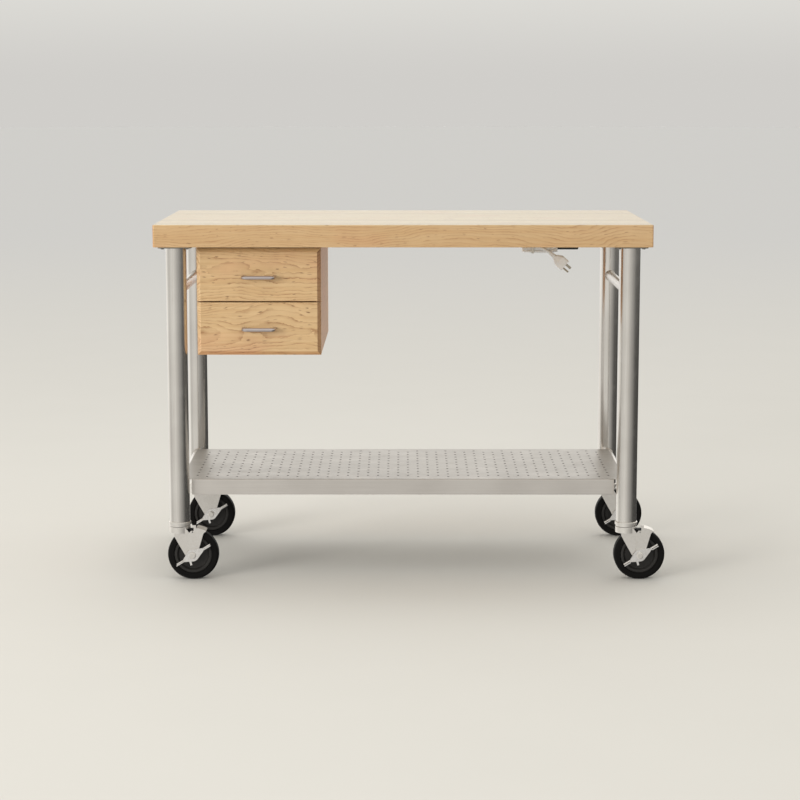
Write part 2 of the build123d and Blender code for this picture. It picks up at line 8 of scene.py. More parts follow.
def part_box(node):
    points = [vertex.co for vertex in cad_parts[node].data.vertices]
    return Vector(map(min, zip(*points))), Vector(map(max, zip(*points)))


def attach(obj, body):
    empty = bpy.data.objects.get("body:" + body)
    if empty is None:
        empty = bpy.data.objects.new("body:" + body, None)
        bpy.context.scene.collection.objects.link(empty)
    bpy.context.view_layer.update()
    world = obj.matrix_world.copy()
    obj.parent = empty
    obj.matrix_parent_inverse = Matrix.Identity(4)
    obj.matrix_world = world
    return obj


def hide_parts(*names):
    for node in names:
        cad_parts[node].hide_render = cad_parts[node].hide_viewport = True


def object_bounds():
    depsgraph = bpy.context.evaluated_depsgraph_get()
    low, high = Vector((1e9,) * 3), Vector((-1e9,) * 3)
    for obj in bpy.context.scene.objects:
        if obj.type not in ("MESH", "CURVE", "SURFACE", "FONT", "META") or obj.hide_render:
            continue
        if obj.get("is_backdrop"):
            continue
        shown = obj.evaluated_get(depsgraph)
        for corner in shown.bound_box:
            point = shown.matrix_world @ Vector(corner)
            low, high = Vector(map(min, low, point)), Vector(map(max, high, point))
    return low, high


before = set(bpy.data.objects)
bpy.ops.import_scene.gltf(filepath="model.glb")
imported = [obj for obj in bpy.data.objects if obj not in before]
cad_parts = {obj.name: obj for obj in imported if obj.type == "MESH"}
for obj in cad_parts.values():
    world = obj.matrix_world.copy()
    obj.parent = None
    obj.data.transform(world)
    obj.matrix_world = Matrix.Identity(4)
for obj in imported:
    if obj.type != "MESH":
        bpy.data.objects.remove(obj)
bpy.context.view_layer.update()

# ---- Camera ----
# A long lens stands a little above the worktop, in front of the cart's middle, and looks slightly down, so
# that the upright lines stay nearly upright.

slab_low, slab_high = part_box("worktop")
slab_x = (slab_low.x + slab_high.x) / 2
camera_distance = 5.153
camera_height = 1.2225
degrees_down = 8.43
camera_data = bpy.data.cameras.new("camera")
camera_data.sensor_width = 36
camera_data.lens = 95.32
camera_data.shift_x = -0.0038
camera_data.clip_end = 200
camera = bpy.data.objects.new("camera", camera_data)
camera.location = (slab_x, slab_low.y - camera_distance, camera_height)
camera.rotation_euler = (math.radians(90 - degrees_down), 0, 0)
bpy.context.scene.collection.objects.link(camera)
bpy.context.scene.camera = camera
bpy.context.scene.view_settings.view_transform = "Standard"


# ---- Studio ----
# A pale painted floor runs out of sight in every direction. One soft box hangs over the cart and one stands
# far off at the front left. The room is bright on the left and darker on the right, for the tubes to mirror.

def add_node(tree, kind, inputs=(), **settings):
    """Add a node: settings are its own options, and inputs are values, or sockets to link from."""
    made = tree.nodes.new(kind)
    for name, value in settings.items():
        setattr(made, name, value)
    for key, value in dict(inputs).items():
        if isinstance(value, bpy.types.NodeSocket):
            tree.links.new(value, made.inputs[key])
        else:
            made.inputs[key].default_value = value
    return made


def calculate(tree, operation, *values, clamp=False):
    """A Math node's result."""
    made = add_node(tree, "ShaderNodeMath", enumerate(values), operation=operation, use_clamp=clamp)
    return made.outputs[0]


def split(tree, vector):
    """A vector's three parts."""
    return add_node(tree, "ShaderNodeSeparateXYZ", {0: vector}).outputs


def remap(tree, value, low, high, to_low=0.0, to_high=1.0):
    """A value taken from one range to another, eased at both ends and held there."""
    inputs = {"Value": value, "From Min": low, "From Max": high, "To Min": to_low, "To Max": to_high}
    return add_node(tree, "ShaderNodeMapRange", inputs, interpolation_type="SMOOTHSTEP").outputs[0]


def mix_colours(tree, share, first, second, blend="MIX"):
    """Two colours mixed by a share from 0 to 1."""
    inputs = {0: share, 6: first, 7: second}
    return add_node(tree, "ShaderNodeMix", inputs, data_type="RGBA", blend_type=blend).outputs[2]


def tinted(tree, colour, tint):
    """A colour multiplied by a tint."""
    return mix_colours(tree, 1.0, colour, tint, blend="MULTIPLY")


def noise(tree, vector, scale, detail=2.0, roughness=0.5):
    """Soft noise from 0 to 1."""
    inputs = {"Vector": vector, "Scale": scale, "Detail": detail, "Roughness": roughness}
    return add_node(tree, "ShaderNodeTexNoise", inputs).outputs[0]


def ramp(tree, value, stops):
    """A colour ramp with the given places and brightnesses or colours."""
    made = add_node(tree, "ShaderNodeValToRGB", {0: value})
    elements = made.color_ramp.elements
    while len(elements) < len(stops):
        elements.new(0.5)
    for element, (place, colour) in zip(elements, stops):
        element.position = place
        element.color = colour if isinstance(colour, tuple) else (colour, colour, colour, 1)
    return made.outputs[0]


def new_material(name, **values):
    """A material with its shader's plain values set; it returns the material, its nodes and the shader."""
    material = bpy.data.materials.new(name)
    material.use_nodes = True
    shader = material.node_tree.nodes["Principled BSDF"]
    for key, value in values.items():
        shader.inputs[key.replace("_", " ")].default_value = value
    return material, material.node_tree, shader


def object_coordinates(tree):
    """Positions in the object's own metres."""
    return add_node(tree, "ShaderNodeTexCoord").outputs["Object"]


def new_piece(name, bm, material, smooth=True):
    """A mesh object from a finished bmesh, with outward faces."""
    bmesh.ops.recalc_face_normals(bm, faces=bm.faces)
    mesh = bpy.data.meshes.new(name)
    bm.to_mesh(mesh)
    bm.free()
    for polygon in mesh.polygons:
        polygon.use_smooth = smooth
    mesh.materials.append(material)
    piece = bpy.data.objects.new(name, mesh)
    bpy.context.scene.collection.objects.link(piece)
    return piece


near_cream = (0.602, 0.590, 0.550, 1)
near_pale = (0.618, 0.605, 0.565, 1)
far_grey = (0.558, 0.557, 0.548, 1)
near_y, far_y = 0.5, 13.0
paint, tree, shader = new_material("floor_paint", Roughness=0.9, Specular_IOR_Level=0.1)
places = object_coordinates(tree)
near_paint = mix_colours(tree, noise(tree, places, 3.0, detail=4.0), near_cream, near_pale)
distance_share = remap(tree, split(tree, places)[1], near_y, far_y)
tree.links.new(mix_colours(tree, distance_share, near_paint, far_grey), shader.inputs["Base Color"])

floor_radius = 60
bm = bmesh.new()
bmesh.ops.create_circle(bm, cap_ends=True, segments=96, radius=floor_radius)
floor = new_piece("studio_floor", bm, paint, smooth=False)
floor.visible_glossy = False
floor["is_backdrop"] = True


def soft_box(name, place, target, width, height, power):
    """A warm soft box that faces a target and is mirrored by nothing."""
    light = bpy.data.lights.new(name, "AREA")
    light.shape = "RECTANGLE"
    light.size = width
    light.size_y = height
    light.energy = power
    light.color = (1, 0.975, 0.94)
    box = bpy.data.objects.new(name, light)
    box.location = place
    box.rotation_euler = (Vector(target) - Vector(place)).to_track_quat("-Z", "Y").to_euler()
    box.visible_camera = False
    box.visible_glossy = False
    bpy.context.scene.collection.objects.link(box)


soft_box(
    "top_box", place=(slab_x - 0.5, 0.1, 2.75), target=(slab_x + 0.1, 0, 0), width=1.3, height=0.7, power=9
)
soft_box(
    "front_box", place=(slab_x - 6.3, slab_low.y - 6.0, 2.3), target=(slab_x, slab_low.y, 0.6),
    width=3.4, height=2.4, power=400,
)

room = bpy.data.worlds.new("room")
room.use_nodes = True
bpy.context.scene.world = room
tree = room.node_tree
ray = split(tree, add_node(tree, "ShaderNodeTexCoord").outputs["Generated"])
turn = calculate(tree, "ARCTAN2", ray[0], calculate(tree, "MULTIPLY", ray[1], -1.0))
round_place = calculate(tree, "MULTIPLY_ADD", turn, 0.5 / math.pi, 0.5)
low_ring = ramp(tree, round_place, [
    (0.0, 0.95), (0.17, 1.15), (0.235, 0.66), (0.36, 0.86), (0.43, 0.88), (0.5, 0.66), (0.556, 0.46),
    (0.61, 0.32), (0.655, 0.19), (0.7, 0.08), (0.93, 0.06), (0.985, 0.95),
])
high_ring = ramp(tree, round_place, [
    (0.0, 1.5), (0.12, 1.3), (0.25, 1.0), (0.5, 0.92), (0.72, 0.92), (0.88, 1.15), (1.0, 1.5),
])
studio_light = mix_colours(tree, remap(tree, ray[2], -0.12, 0.16), low_ring, high_ring)
warm_light = tinted(tree, studio_light, (1.0, 0.985, 0.955, 1))
backdrop = ramp(tree, remap(tree, ray[2], 0.0, 0.06), [
    (0.0, (0.632, 0.618, 0.592, 1)), (1.0, (0.74, 0.73, 0.69, 1)),
])
seen_directly = add_node(tree, "ShaderNodeLightPath").outputs["Is Camera Ray"]
room_colour = mix_colours(tree, seen_directly, warm_light, backdrop)
tree.links.new(room_colour, tree.nodes["Background"].inputs["Color"])


# ---- Power lead ----
# A grounded vinyl lead leaves the outlet box through a ribbed strain relief. It is wound into a flat hank
# under the top's back edge, held by two clips, and its moulded plug hangs out at the front of the hank.

lead_diameter = 0.007
ring_low, ring_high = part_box("cord_hank")
relief_low, relief_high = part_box("cord_gland")
turn_radii = (0.021, 0.028)
straight_half = 0.0165
ring_x = ring_high.x - turn_radii[1] - lead_diameter / 2 - straight_half
ring_y = ring_low.y + turn_radii[1] + lead_diameter / 2
layers = [ring_low.z + lead_diameter * (layer + 0.5) for layer in range(4)]
lead_x = (relief_low.x + relief_high.x) / 2
lead_z = (relief_low.z + relief_high.z) / 2
lead_exit = (lead_x, relief_low.y, lead_z)

lead_points = [
    lead_exit,
    (lead_x, relief_low.y - 0.010, lead_z),
    (lead_x - 0.0035, relief_low.y - 0.020, lead_z),
    (lead_x - 0.014, relief_low.y - 0.0285, lead_z),
    (lead_x - 0.029, relief_low.y - 0.0305, lead_z),
    (lead_x - 0.045, relief_low.y - 0.0265, lead_z),
    (lead_x - 0.060, relief_low.y - 0.0195, lead_z),
]

# Each turn of the hank lies at its own level, in the inner or the outer row, and steps over to the next one
# in the last part of its way round. The turns wander a little, as hand-wound ones do.
start_angle = 130.0
last_angle = 360 * 6 + 245
step_over_angle = 345.0
step_over_share = 0.14
step = 15.0
side_spread = 2.2
wander_out = 0.0008
wander_up = 0.0006
wanderings = (0.0, 0.5, -0.3, 0.4, -0.5, 0.2, 0.6)
turn_levels = [(layers[3], 0), (layers[2], 0), (layers[1], 0), (layers[0], 0)]
turn_levels += [(layers[0], 1), (layers[1], 1), (layers[2], 1)]
last_turn = len(turn_levels) - 1
polygon_share = 1 / math.cos(math.radians(step) / 2)
angle = start_angle
while angle <= last_angle:
    passed = (angle - step_over_angle) / 360 + 1
    number = max(0, min(math.floor(passed), last_turn))
    share = 0.0
    if number < last_turn:
        share = max(0.0, (passed - number - (1 - step_over_share)) / step_over_share)
    height, column = turn_levels[number]
    next_height, next_column = turn_levels[min(number + 1, last_turn)]
    eased = share * share * (3 - 2 * share)
    radius = turn_radii[column] + (turn_radii[next_column] - turn_radii[column]) * eased
    radius += wander_out * wanderings[number] * math.sin(math.radians(angle + 70 * number))
    across = math.cos(math.radians(angle))
    along = math.sin(math.radians(angle))
    height += (next_height - height) * eased + wander_up * wanderings[number] * across
    side = max(-1.0, min(1.0, side_spread * across))
    lead_points.append((
        ring_x + side * straight_half + radius * polygon_share * across,
        ring_y + radius * polygon_share * along,
        height,
    ))
    angle += step

lead_points += [
    (slab_x + 0.342, slab_high.y - 0.1443, slab_low.z - 0.0318),
    (slab_x + 0.3585, slab_high.y - 0.1483, slab_low.z - 0.0337),
    (slab_x + 0.374, slab_high.y - 0.1520, slab_low.z - 0.0395),
    (slab_x + 0.388, slab_high.y - 0.1523, slab_low.z - 0.0475),
]

lead_curve = bpy.data.curves.new("power_lead", "CURVE")
lead_curve.dimensions = "3D"
lead_curve.bevel_depth = lead_diameter / 2
lead_curve.bevel_resolution = 5
lead_curve.resolution_u = 5
lead_curve.use_fill_caps = True
spline = lead_curve.splines.new("NURBS")
spline.points.add(len(lead_points) - 1)
for point, place in zip(spline.points, lead_points):
    point.co = (*place, 1)
spline.order_u = 3
spline.use_endpoint_u = True
spline.use_smooth = True
power_lead = bpy.data.objects.new("power_lead", lead_curve)
bpy.context.scene.collection.objects.link(power_lead)


def combine_vectors(tree, operation, *vectors):
    """A Vector Math node's vector."""
    return add_node(tree, "ShaderNodeVectorMath", enumerate(vectors), operation=operation).outputs[0]


def stretched(tree, vector, scale):
    """A vector scaled apart along each axis."""
    return combine_vectors(tree, "MULTIPLY", vector, scale)


def set_surface(tree, shader, colour, roughness):
    """Link a material's colour and roughness."""
    tree.links.new(colour, shader.inputs["Base Color"])
    tree.links.new(roughness, shader.inputs["Roughness"])


def add_relief(tree, shader, height, strength, distance):
    """Link a small relief to a material's surface."""
    bump = add_node(tree, "ShaderNodeBump", {"Strength": strength, "Distance": distance, "Height": height})
    tree.links.new(bump.outputs[0], shader.inputs["Normal"])


def dress(material, *names):
    """Give carried-over nodes their finish."""
    for name in names:
        for material_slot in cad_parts[name].material_slots:
            material_slot.material = material


soft_grey, bluish_white = (0.82, 0.82, 0.82, 1), (0.92, 0.925, 0.93, 1)
vinyl_dust = (0.74, 0.735, 0.72, 1)
vinyl, tree, shader = new_material("lead_vinyl", Roughness=0.42)
places = object_coordinates(tree)
smudges = noise(tree, places, 60.0, detail=4.0)
dust = noise(tree, stretched(tree, places, (300.0, 300.0, 120.0)), 1.0, detail=3.0)
vinyl_colour = mix_colours(tree, smudges, soft_grey, bluish_white)
vinyl_colour = mix_colours(tree, remap(tree, dust, 0.55, 0.8), vinyl_colour, vinyl_dust)
set_surface(tree, shader, vinyl_colour, remap(tree, smudges, 0.2, 0.8, 0.34, 0.52))
add_relief(tree, shader, dust, 0.15, 0.0003)
power_lead.data.materials.append(vinyl)
dress(vinyl, "cord_gland", "plug")

clear_nylon, milky_nylon = (0.62, 0.61, 0.58, 1), (0.76, 0.75, 0.72, 1)
clip_plastic, tree, shader = new_material("clip_nylon", Roughness=0.35)
frost = noise(tree, object_coordinates(tree), 220.0, detail=3.0)
nylon_colour = mix_colours(tree, frost, clear_nylon, milky_nylon)
set_surface(tree, shader, nylon_colour, remap(tree, frost, 0.2, 0.8, 0.28, 0.45))
dress(clip_plastic, "cord_clips")

clean_blade, dull_blade = (0.50, 0.45, 0.36, 1), (0.36, 0.32, 0.25, 1)
blade_metal, tree, shader = new_material("blade_brass", Metallic=1.0, Roughness=0.3)
tarnish = noise(tree, object_coordinates(tree), 180.0, detail=4.0)
blade_colour = mix_colours(tree, tarnish, clean_blade, dull_blade)
set_surface(tree, shader, blade_colour, remap(tree, tarnish, 0.2, 0.8, 0.22, 0.42))
dress(blade_metal, "plug_blades")

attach(power_lead, "cart")
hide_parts("cord_hank", "cord_tail")


# ---- Worktop ----
# A slab of hard maple staves, glued edge to edge and sanded flush, then oiled. It is screwed down to the
# leg flanges. The top shows narrow staves, greyed by painted reflection and shade, the front edge one long
# stave, and the ends are darker.

def new_group(name, inputs, outputs):
    """A node group with named sockets: inputs give each a kind and a starting value."""
    made = bpy.data.node_groups.new(name, "ShaderNodeTree")
    for socket_name, kind, value in inputs:
        socket = made.interface.new_socket(socket_name, in_out="INPUT", socket_type=kind)
        if value is not None:
            socket.default_value = value
    for socket_name, kind in outputs:
        made.interface.new_socket(socket_name, in_out="OUTPUT", socket_type=kind)
    entry = made.nodes.new("NodeGroupInput")
    result = made.nodes.new("NodeGroupOutput")
    return made, entry.outputs, result.inputs


def use_group(tree, made, **inputs):
    """Place a group in a material, with its own values."""
    placed = add_node(tree, "ShaderNodeGroup", node_tree=made)
    for key, value in inputs.items():
        socket = placed.inputs[key.replace("_", " ")]
        if isinstance(value, bpy.types.NodeSocket):
            tree.links.new(value, socket)
        else:
            socket.default_value = value
    return placed.outputs


def grey(tree, value):
    """A grey of the given brightness."""
    return add_node(tree, "ShaderNodeCombineColor", {0: value, 1: value, 2: value}).outputs[0]


def drift(tree, vector, stretch, amount, detail, roughness):
    """A push in every direction by soft noise of the given stretch."""
    push = add_node(tree, "ShaderNodeTexNoise", {
        "Vector": stretched(tree, vector, stretch), "Scale": 1.0, "Detail": detail, "Roughness": roughness,
    })
    centred = combine_vectors(tree, "SUBTRACT", push.outputs[1], (0.5, 0.5, 0.5))
    return add_node(tree, "ShaderNodeVectorMath", {0: centred, 3: amount}, operation="SCALE").outputs[0]


maple_grain, entry, result = new_group(
    "maple_grain",
    [
        ("Vector", "NodeSocketVector", None),
        ("Ring Spacing", "NodeSocketFloat", 0.007),
        ("Wander", "NodeSocketFloat", 0.02),
        ("Ring Depth", "NodeSocketFloat", 0.5),
        ("Fleck Amount", "NodeSocketFloat", 0.6),
        ("Pale", "NodeSocketColor", (0.62, 0.42, 0.22, 1)),
        ("Honey", "NodeSocketColor", (0.55, 0.35, 0.17, 1)),
        ("Blush", "NodeSocketColor", (0.6, 0.33, 0.17, 1)),
    ],
    [
        ("Color", "NodeSocketColor"),
        ("Roughness", "NodeSocketFloat"),
        ("Height", "NodeSocketFloat"),
    ],
)
late_wood_tint = (0.58, 0.46, 0.38, 1)
fleck_brown = (0.20, 0.105, 0.045, 1)
tree = maple_grain
straight = entry["Vector"]

# Growth rings are cylinders round the pith, along X. They wander slowly and ripple finely.
wandered = combine_vectors(
    tree, "ADD", straight, drift(tree, straight, (3.2, 8.0, 8.0), entry["Wander"], 2.0, 0.5)
)
bent = combine_vectors(tree, "ADD", wandered, drift(tree, straight, (34.0, 70.0, 70.0), 0.006, 3.0, 0.6))
across_grain = stretched(tree, bent, (0.0, 1.0, 1.0))
from_pith = add_node(tree, "ShaderNodeVectorMath", {0: across_grain}, operation="LENGTH").outputs["Value"]
rings = calculate(tree, "FRACT", calculate(tree, "DIVIDE", from_pith, entry["Ring Spacing"]))
late_line = calculate(tree, "POWER", rings, 6.0)
late_shade = calculate(tree, "MULTIPLY", rings, 0.15)
line_noise = noise(tree, stretched(tree, straight, (26.0, 60.0, 60.0)), 1.0)
line_strength = remap(tree, line_noise, 0.36, 0.66, 0.1, 1.0)
late_wood = calculate(tree, "MULTIPLY_ADD", late_line, line_strength, late_shade)
late_wood = calculate(tree, "MULTIPLY", late_wood, entry["Ring Depth"], clamp=True)

# Fibres and broader streaks run along X, and a faint figure lies across them.
fibres = noise(tree, stretched(tree, straight, (14.0, 700.0, 700.0)), 1.0, detail=3.0, roughness=0.65)
streaks = noise(tree, stretched(tree, straight, (4.0, 130.0, 130.0)), 1.0, detail=3.0)
patches = noise(tree, stretched(tree, straight, (5.0, 14.0, 14.0)), 1.0)
figure = noise(tree, stretched(tree, bent, (34.0, 7.0, 7.0)), 1.0, detail=1.0)

# Short brown flecks lie along the grain, in a few of the cells.
fleck_places = stretched(tree, bent, (52.0, 300.0, 300.0))
fleck_cells = add_node(tree, "ShaderNodeTexVoronoi", {"Vector": fleck_places, "Scale": 1.0}).outputs
fleck_pick = add_node(tree, "ShaderNodeSeparateColor", {0: fleck_cells["Color"]}).outputs[0]
fleck_shape = remap(tree, fleck_cells["Distance"], 0.40, 0.10)
flecks = calculate(tree, "MULTIPLY", fleck_shape, remap(tree, fleck_pick, 0.78, 0.94))
flecks = calculate(tree, "MULTIPLY", flecks, entry["Fleck Amount"])

colour = mix_colours(tree, remap(tree, streaks, 0.3, 0.7), entry["Pale"], entry["Honey"])
colour = mix_colours(tree, remap(tree, patches, 0.52, 0.8, 0.0, 0.6), colour, entry["Blush"])
colour = mix_colours(tree, late_wood, colour, tinted(tree, colour, late_wood_tint))
colour = mix_colours(tree, flecks, colour, fleck_brown)
brightness = calculate(
    tree, "MULTIPLY", calculate(tree, "MULTIPLY_ADD", fibres, 0.22, 0.89),
    calculate(tree, "MULTIPLY_ADD", figure, 0.10, 0.95),
)
tree.links.new(tinted(tree, colour, grey(tree, brightness)), result["Color"])
polish = calculate(tree, "MULTIPLY_ADD", late_wood, -0.08, 0.36)
tree.links.new(calculate(tree, "MULTIPLY_ADD", fibres, 0.16, polish), result["Roughness"])
fibre_height = calculate(tree, "MULTIPLY", fibres, 0.6)
tree.links.new(calculate(tree, "SUBTRACT", fibre_height, flecks), result["Height"])

# Each stave is a board of its own: its number scatters its grain and its tint.
stave_width = 0.0381
glue_brown = (0.33, 0.19, 0.09, 1)
top_painted_light_tint = (0.64, 0.77, 0.96, 1)
oiled_end_tint = (0.74, 0.56, 0.46, 1)
stave_maple, tree, shader = new_material("oiled_maple_staves", Roughness=0.38)
from_corner = combine_vectors(tree, "SUBTRACT", object_coordinates(tree), tuple(slab_low))
from_corner = split(tree, from_corner)
stave = calculate(tree, "DIVIDE", from_corner[1], stave_width)
in_stave = calculate(tree, "FRACT", stave)
stave_number = calculate(tree, "FLOOR", stave)
scatter = add_node(tree, "ShaderNodeTexWhiteNoise", {"W": stave_number}, noise_dimensions="1D").outputs
scattered = combine_vectors(tree, "MULTIPLY_ADD", scatter["Color"], (3.0, 0.09, 0.10), (0.0, 0.012, 0.02))
own_y = calculate(tree, "MULTIPLY", in_stave, stave_width)
own_places = add_node(tree, "ShaderNodeCombineXYZ", {0: from_corner[0], 1: own_y, 2: from_corner[2]})
grain = use_group(
    tree, maple_grain, Vector=combine_vectors(tree, "ADD", own_places.outputs[0], scattered),
    Ring_Spacing=0.0066, Wander=0.09, Ring_Depth=1.1, Fleck_Amount=0.8, Pale=(0.70, 0.505, 0.275, 1),
    Honey=(0.64, 0.43, 0.215, 1), Blush=(0.67, 0.37, 0.195, 1),
)
stave_tint = grey(tree, remap(tree, scatter["Value"], 0.0, 1.0, 0.92, 1.08))
stave_colour = tinted(tree, grain["Color"], stave_tint)
joint_place = calculate(tree, "ABSOLUTE", calculate(tree, "SUBTRACT", in_stave, 0.5))
glue_line = remap(tree, joint_place, 0.488, 0.498, 0.0, 0.45)
stave_colour = mix_colours(tree, glue_line, stave_colour, glue_brown)


def facing(tree):
    """The three parts of the surface's direction, along the object's own axes."""
    return split(tree, add_node(tree, "ShaderNodeTexCoord").outputs["Normal"])


# Painted reflection and shade: the top faces are tinted greyer and cooler, for the room's light on the top.
slab_facing = facing(tree)
slab_top_share = remap(tree, slab_facing[2], 0.3, 0.9)
stave_colour = mix_colours(tree, slab_top_share, stave_colour, tinted(tree, stave_colour, top_painted_light_tint))
end_grain = remap(tree, calculate(tree, "ABSOLUTE", slab_facing[0]), 0.25, 0.8)
stave_colour = mix_colours(tree, end_grain, stave_colour, tinted(tree, stave_colour, oiled_end_tint))
slab_roughness = calculate(tree, "MULTIPLY_ADD", slab_top_share, -0.06, grain["Roughness"])
set_surface(tree, shader, stave_colour, slab_roughness)
add_relief(tree, shader, grain["Height"], 0.2, 0.0004)
dress(stave_maple, "worktop")


# ---- Frame ----
# Four legs of 2 inch stainless tube, with a flange plate welded on each top, are joined in pairs by two
# smaller cross tubes. All are polished lengthwise with a fine belt, then welded.

brushed_steel, entry, result = new_group(
    "brushed_steel",
    [
        ("Vector", "NodeSocketVector", None),
        ("Streaks", "NodeSocketVector", (600.0, 600.0, 5.0)),
        ("Light", "NodeSocketColor", (0.74, 0.71, 0.66, 1)),
        ("Dark", "NodeSocketColor", (0.62, 0.59, 0.545, 1)),
        ("Gloss", "NodeSocketFloat", 0.28),
    ],
    [
        ("Color", "NodeSocketColor"),
        ("Roughness", "NodeSocketFloat"),
        ("Height", "NodeSocketFloat"),
    ],
)
tree = brushed_steel
scratch_places = stretched(tree, entry["Vector"], entry["Streaks"])
scratches = noise(tree, scratch_places, 1.0, detail=5.0, roughness=0.7)
coarse = noise(tree, scratch_places, 0.16)
clouding = noise(tree, entry["Vector"], 7.0, detail=3.0)
prints = noise(tree, entry["Vector"], 38.0, detail=4.0, roughness=0.6)
steel_share = calculate(tree, "MULTIPLY_ADD", scratches, 0.5, calculate(tree, "MULTIPLY", clouding, 0.5))
steel_colour = mix_colours(tree, remap(tree, steel_share, 0.3, 0.7), entry["Light"], entry["Dark"])
tree.links.new(steel_colour, result["Color"])
roughened = calculate(tree, "MULTIPLY_ADD", scratches, 0.14, calculate(tree, "MULTIPLY", coarse, 0.08))
roughened = calculate(tree, "ADD", roughened, remap(tree, prints, 0.5, 0.75, 0.0, 0.05))
polish = calculate(tree, "SUBTRACT", entry["Gloss"], 0.11)
tree.links.new(calculate(tree, "ADD", roughened, polish), result["Roughness"])
tree.links.new(calculate(tree, "MULTIPLY_ADD", coarse, 0.5, scratches), result["Height"])

bright_steel = (0.74, 0.71, 0.66, 1)
shaded_steel = (0.62, 0.59, 0.545, 1)


def steel_finish(name, streaks, gloss, light=bright_steel, dark=shaded_steel, depth=0.12):
    """A polished or brushed metal, with its streaks stretched as given."""
    material, tree, shader = new_material(name, Metallic=1.0)
    places = object_coordinates(tree)
    metal = use_group(
        tree, brushed_steel, Vector=places, Streaks=streaks, Light=light, Dark=dark, Gloss=gloss
    )
    set_surface(tree, shader, metal["Color"], metal["Roughness"])
    add_relief(tree, shader, metal["Height"], depth, 0.0002)
    return material


dress(
    steel_finish("upright_tube_steel", (900.0, 900.0, 6.0), 0.19, depth=0.03),
    "leg_front_left", "leg_front_right", "leg_back_left", "leg_back_right",
)
dress(
    steel_finish(
        "cross_tube_steel", (900.0, 6.0, 900.0), 0.26, (0.58, 0.55, 0.51, 1), (0.47, 0.44, 0.40, 1), 0.03
    ),
    "towel_bar_left", "towel_bar_right", "shelf_rail_left", "shelf_rail_right",
)
# Painted shade: the flange plates are painted dark, for the shadow line under the slab.
dress(
    steel_finish("painted_shade_flange_steel", (60.0, 60.0, 60.0), 0.45, (0.26, 0.24, 0.21, 1), (0.18, 0.165, 0.145, 1)),
    "leg_flanges",
)
dress(
    steel_finish("screw_zinc", (240.0, 240.0, 240.0), 0.4, (0.34, 0.32, 0.29, 1), (0.24, 0.225, 0.2, 1)),
    "flange_screws", "case_screws",
)

straw_weld, brown_weld = (0.58, 0.54, 0.48, 1), (0.42, 0.37, 0.31, 1)
weld_steel, tree, shader = new_material("weld_steel", Metallic=1.0, Roughness=0.42)
heat = noise(tree, object_coordinates(tree), 130.0, detail=4.0)
weld_colour = mix_colours(tree, heat, straw_weld, brown_weld)
set_surface(tree, shader, weld_colour, remap(tree, heat, 0.2, 0.8, 0.32, 0.55))
add_relief(tree, shader, heat, 0.5, 0.0006)

bead_radius = 0.0016
bead_ripple = 0.0002
ripples_round = 38


def weld_bead(name, leg_name, bar_name):
    """A bead of weld round the end of a cross tube, lying on the leg's curve."""
    leg_low, leg_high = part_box(leg_name)
    bar_low, bar_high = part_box(bar_name)
    leg_radius = (leg_high.x - leg_low.x) / 2
    bar_radius = (bar_high.z - bar_low.z) / 2
    leg_middle = (leg_low + leg_high) / 2
    bar_middle = (bar_low + bar_high) / 2
    inward = 1 if bar_middle.y > leg_middle.y else -1
    bm = bmesh.new()
    bmesh.ops.create_circle(
        bm, segments=10, radius=bead_radius, matrix=Matrix.Translation((bar_radius, 0, 0))
    )
    bmesh.ops.spin(
        bm, geom=bm.verts[:] + bm.edges[:], cent=(0, 0, 0), axis=(0, 1, 0), dvec=(0, 0, 0),
        angle=math.tau, steps=72, use_merge=True,
    )
    for vert in bm.verts:
        ripple = bead_ripple * math.sin(ripples_round * math.atan2(vert.co.z, vert.co.x))
        saddle = math.sqrt(leg_radius**2 - min(abs(vert.co.x), bar_radius) ** 2)
        vert.co.y += inward * (saddle + ripple)
    bmesh.ops.translate(bm, verts=bm.verts, vec=(leg_middle.x, leg_middle.y, bar_middle.z))
    bead = new_piece(name, bm, weld_steel)
    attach(bead, "cart")


for column in ("left", "right"):
    for row in ("front", "back"):
        for bar in ("towel_bar", "shelf_rail"):
            weld_bead(f"{bar}_weld_{row}_{column}", f"leg_{row}_{column}", f"{bar}_{column}")


# ---- Shelf ----
# One sheet of brushed stainless, punched with rows of holes, and folded down and back under along its front
# and back edges. It lies on the two lower cross tubes; its top is rougher, and painted darker as painted
# shade.

pan_low, pan_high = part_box("shelf_pan")
lip_reach = 0.008
top_shade_tint = (0.435, 0.430, 0.420, 1)
hole_shade_black = (0.012, 0.011, 0.01, 1)
shelf_steel, tree, shader = new_material("shelf_sheet_steel", Metallic=1.0)
places = object_coordinates(tree)
metal = use_group(
    tree, brushed_steel, Vector=places, Streaks=(5.0, 700.0, 700.0), Light=(0.74, 0.70, 0.645, 1),
    Dark=(0.64, 0.60, 0.55, 1), Gloss=0.33,
)
shelf_facing = facing(tree)[2]
# Painted shade: the top faces are painted darker, a little unevenly, and are made rougher.
top_mottle = noise(tree, stretched(tree, places, (9.0, 16.0, 16.0)), 1.0, detail=5.0, roughness=0.65)
top_face = remap(tree, shelf_facing, 0.3, 0.9)
dulled = calculate(tree, "MULTIPLY", top_face, remap(tree, top_mottle, 0.1, 0.6, 0.75, 1.0))
shelf_colour = mix_colours(tree, dulled, metal["Color"], tinted(tree, metal["Color"], top_shade_tint))
